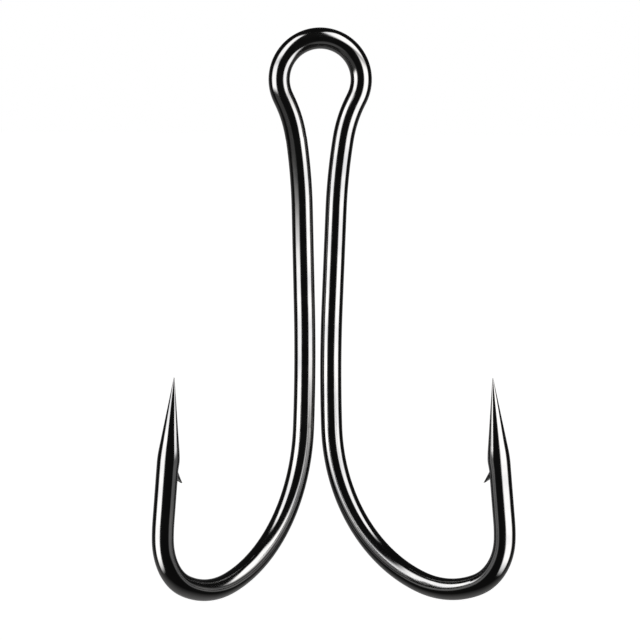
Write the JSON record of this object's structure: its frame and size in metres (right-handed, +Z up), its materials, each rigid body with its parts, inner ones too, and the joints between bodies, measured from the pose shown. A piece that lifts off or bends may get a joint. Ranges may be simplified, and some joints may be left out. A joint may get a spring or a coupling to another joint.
{
  "type": "double fishing hook",
  "caption": "Double-pointed fishing hook bent from a single round wire, with a closed eye, close-set shanks and deep forward-set bends that end in barbed points.",
  "frame": {"origin": "centre of the eye", "axes": "+Z up the shanks to the top of the eye, +Y along the eye's hole towards the back, so that the points stand out on the -Y side, and +X to the right-hand hook"},
  "size_m": [0.0332, 0.0169, 0.0524],
  "materials": {
    "black_nickel_wire": "polished"
  },
  "bodies": {
    "root": {"eye": "black_nickel_wire", "left_shank": "black_nickel_wire", "right_shank": "black_nickel_wire", "left_bend": "black_nickel_wire", "right_bend": "black_nickel_wire", "left_point": "black_nickel_wire", "right_point": "black_nickel_wire"}
  },
  "joints": []
}
